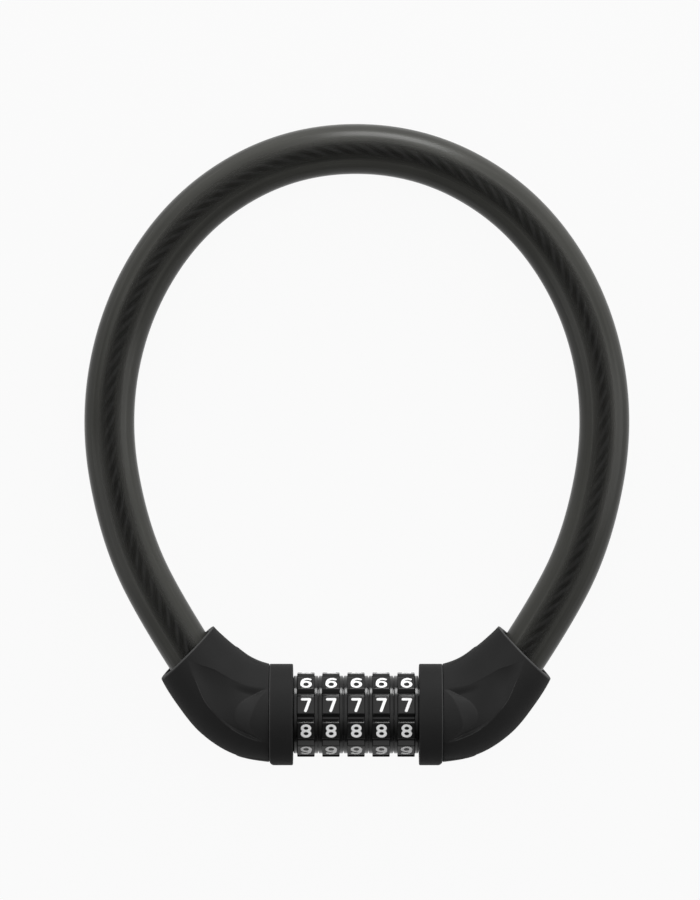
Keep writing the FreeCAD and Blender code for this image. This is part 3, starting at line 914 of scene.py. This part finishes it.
six = [ring(0, -0.68, 1.4, 1.25),
       bend((1.3, 1.64), (0.3, 1.93), (-0.85, 1.45), (-1.34, 0.3), (-1.4, -0.68))]
figure = {
    "strokes": {
        0: [ring(0, 0, 1.35, 1.88)],
        1: [bend((-0.75, 1.2), (0.15, 1.85), steps=8), bend((0.15, 1.85), (0.15, -1.85), steps=8)],
        2: [bend((-1.2, 1.1), (-0.8, 1.7), (0.05, 1.85), (1.0, 1.45), (1.05, 0.6), (-0.15, -0.9),
                 (-1.25, -1.85)), bend((-1.25, -1.85), (1.25, -1.85), steps=8)],
        3: [bend((-1.15, 1.4), (-0.1, 1.85), (1.0, 1.4), (0.9, 0.55), (-0.1, 0.15)),
            bend((-0.1, 0.15), (1.05, -0.25), (1.22, -1.15), (0.1, -1.85), (-1.25, -1.4))],
        4: [bend((0.45, 1.85), (-1.35, -0.8), steps=8), bend((-1.35, -0.8), (1.35, -0.8), steps=8),
            bend((0.55, 0.4), (0.55, -1.85), steps=8)],
        5: [bend((1.05, 1.85), (-0.9, 1.85), steps=8), bend((-0.9, 1.85), (-1.05, 0.2), steps=8),
            bend((-1.05, 0.2), (0.1, 0.5), (1.2, 0.05), (1.2, -1.15), (0.1, -1.85), (-1.2, -1.45))],
        6: six,
        7: [bend((-1.23, 1.85), (1.23, 1.85), steps=8), bend((1.23, 1.85), (-0.15, -1.85), steps=8)],
        8: [ring(0, 0.92, 1.24, 0.92), ring(0, -0.92, 1.28, 0.93)],
        9: [-stroke for stroke in six],
    },
    "strokeWidth": 0.76,
    "strokeRise": 0.015,
    "strokeLift": 0.006,  # of each further stroke, so that none lies level with one that it crosses
    "widen": 1.15,  # a figure is drawn narrow and then widened, which thickens its upright strokes
    "drawn": (0.79, 0.95),  # shares of the widths and heights written above
    "aside": 0.1,
    "strokeSink": 0.1,  # into the pad
    # across a stroke, as shares of half its width and of its rise, or of its sink where below 0
    "strokeProfile": [(-1.0, -1.0), (-1.0, 0.4), (-0.96, 0.8), (-0.88, 1.0),
                      (0.88, 1.0), (0.96, 0.8), (1.0, 0.4), (1.0, -1.0)],
    "strokeEnds": (86, 70, 52, 34, 16),  # degrees: the points of a stroke's half-round end
}


def strokeSolid(path, lift):
    # a flat ribbon along the path with half-round ends, as (right, up, out), raised this much more
    path = path * figure["drawn"]
    half = figure["strokeWidth"] / 2
    across, up = np.transpose(figure["strokeProfile"])
    heights = up * np.where(up > 0, figure["strokeRise"] + lift, figure["strokeSink"])
    closed = np.allclose(path[0], path[-1])
    if closed:
        path = path[:-1]
        along = np.roll(path, -1, axis=0) - np.roll(path, 1, axis=0)
        widths = np.full(len(path), half)
    else:
        ends = np.radians(figure["strokeEnds"])
        start, finish = path[1] - path[0], path[-1] - path[-2]
        start, finish = start / np.linalg.norm(start), finish / np.linalg.norm(finish)
        head = path[0] - np.sin(ends)[:, None] * half * start
        tail = path[-1] + np.sin(ends)[::-1, None] * half * finish
        narrowed = half * np.cos(ends)
        widths = np.concatenate([narrowed, np.full(len(path), half), narrowed[::-1]])
        path = np.concatenate([head, path, tail])
        along = np.gradient(path, axis=0)
    along = along / np.linalg.norm(along, axis=1)[:, None]
    side = np.stack([along[:, 1], -along[:, 0]], -1)
    flat = path[:, None] + side[:, None] * (widths[:, None] * across)[..., None]
    flat = flat * [figure["widen"], 1] + [figure["aside"], 0]
    points = np.concatenate([flat, np.broadcast_to(heights, flat.shape[:2])[..., None]], -1)
    return ringSolid(points) if closed else solidAlong(points)


def figuresSolid(middle):
    # every pad's figure laid on its face; the numbers go up as the pads go down
    parts = []
    for pad in range(dial["pads"]):
        angle = math.radians(dial["phase"] - pad * 360 / dial["pads"])
        out = np.array([0, math.sin(angle), math.cos(angle)])
        up = np.array([0, math.cos(angle), -math.sin(angle)])
        for number, stroke in enumerate(figure["strokes"][(dial["phaseFigure"] + pad) % 10]):
            points, faces = strokeSolid(stroke, number * figure["strokeLift"])
            place = np.array([middle, 0, 0]) + out * dial["padDistance"]
            placed = place + points @ np.array([[1, 0, 0], up, out])
            parts.append((placed, outwards(points, faces)))
    return joined(parts)


def makeDials():
    for number in range(dial["count"]):
        middle = (number - (dial["count"] - 1) / 2) * dial["pitch"]
        body = f"dial_{number + 1}"
        points, faces = dialSolid(middle)
        piece = makePiece(f"number_{body}", (toTable(points), faces), materials["dial"], 50.0)
        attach(piece, body)
        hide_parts(body)
        points, faces = figuresSolid(middle)
        solid = toTable(points), faces
        figures = makePiece(f"figures_{number + 1}", solid, materials["figures"], 60.0)
        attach(figures, body)
    print("dials made")


makeDials()


# CAD nodes that stay as they are, with their finishes
finishes = {
    "castIron": ["left_block", "right_block"],
    "steel": ["plug", "left_cross_pin", "right_cross_pin", "left_ferrule", "right_ferrule"],
    "springSteel": ["retaining_clip", "detent_spring"],
    "darkSteel": ["barrel_tube"] + [f"code_ring_{k + 1}" for k in range(dial["count"])],
}


def finishNodes():
    for finish, names in finishes.items():
        for name in names:
            mesh = nodes[name].data
            mesh.materials.clear()
            mesh.materials.append(materials[finish])
    print("carried-over nodes finished")


finishNodes()


# Floor, world and lights
stage = {
    "floorSize": 60.0,
    "floorColour": 0.3,
    "whiteShare": 0.94,  # of the floor's look that is plain white to the camera
    "skyLow": 0.04,
    "skyHigh": 1.5,
    "skyTowards": (0.08, 0.5, 0.862),  # where the sky is brightest
    "skyPower": 2.2,  # of the cosine from there
    "backdropTop": 0.16,  # sine of the height over the horizon where the white backdrop ends
    "lamps": [  # name, place and aim in the ring's plane, width, height, watts
        ("top_light", (80, 640, 150), (0, 60, 0), 0.25, 0.2, 2.7),
        ("left_light", (-600, -110, 250), (0, 60, 0), 0.3, 0.5, 0.9),
        ("right_light", (640, 60, 200), (0, 60, 0), 0.3, 0.6, 1.4),
    ],
}


def shownRays(nodes):
    # 1 on rays that show the background: the camera's own, and those seen in metal and through glass
    kinds = ("Is Camera Ray", "Is Glossy Ray", "Is Transmission Ray")
    camera, glossy, through = [nodes.node("LightPath", {}, {}, kind) for kind in kinds]
    return nodes.limited(camera + glossy + through)


def makeFloor():
    half = stage["floorSize"] / 2
    mesh = bpy.data.meshes.new("floor")
    corners = [(-half, -half, 0), (half, -half, 0), (half, half, 0), (-half, half, 0)]
    mesh.from_pydata(corners, [], [(0, 1, 2, 3)])
    floor = bpy.data.objects.new("floor", mesh)
    bpy.context.scene.collection.objects.link(floor)
    colour = grey(stage["floorColour"])
    paint = Paint("floor", Base_Color=colour, Roughness=0.9, Specular_IOR_Level=0.1)
    white = paint.node("Emission", {}, {"Color": (1, 1, 1, 1), "Strength": 1.0})
    share = shownRays(paint) * stage["whiteShare"]
    plain = Value(paint, paint.surface.outputs[0])
    look = paint.node("MixShader", {}, {0: share, 1: plain, 2: white})
    paint.feed(paint.tree.nodes["Material Output"].inputs["Surface"], look)
    mesh.materials.append(paint.material)


def makeWorld():
    # a plain sky that is brightest near its top and falls off with a power of the cosine from there;
    # the rays that show the background see a white backdrop low over the horizon
    world = bpy.data.worlds.new("studio")
    bpy.context.scene.world = world
    world.use_nodes = True
    sky = Nodes(world.node_tree)
    toward = sky.node("TexCoord", {}, {}, "Generated")
    share = sky.limited(sky.dot(toward, stage["skyTowards"])) ** stage["skyPower"]
    plain = stage["skyLow"] + (stage["skyHigh"] - stage["skyLow"]) * share
    top = stage["backdropTop"]
    low = sky.limited((top - sky.dot(toward, (0, 0, 1))) * (2 / top))  # none at the top, full at half
    backdrop = shownRays(sky) * low * stage["whiteShare"]
    light = sky.tree.nodes["Background"]
    light.inputs["Color"].default_value = (1, 1, 1, 1)
    sky.feed(light.inputs["Strength"], plain + (1 - plain) * backdrop)


def makeLamps():
    for name, place, aim, width, height, watts in stage["lamps"]:
        data = bpy.data.lights.new(name, "AREA")
        data.shape = "RECTANGLE"
        data.size, data.size_y, data.energy = width, height, watts
        lamp = bpy.data.objects.new(name, data)
        bpy.context.scene.collection.objects.link(lamp)
        lamp.location = toTable(place)
        toward = Vector(toTable(aim) - toTable(place))
        lamp.rotation_euler = toward.to_track_quat("-Z", "Y").to_euler()


makeFloor()
makeWorld()
makeLamps()
print("stage made")
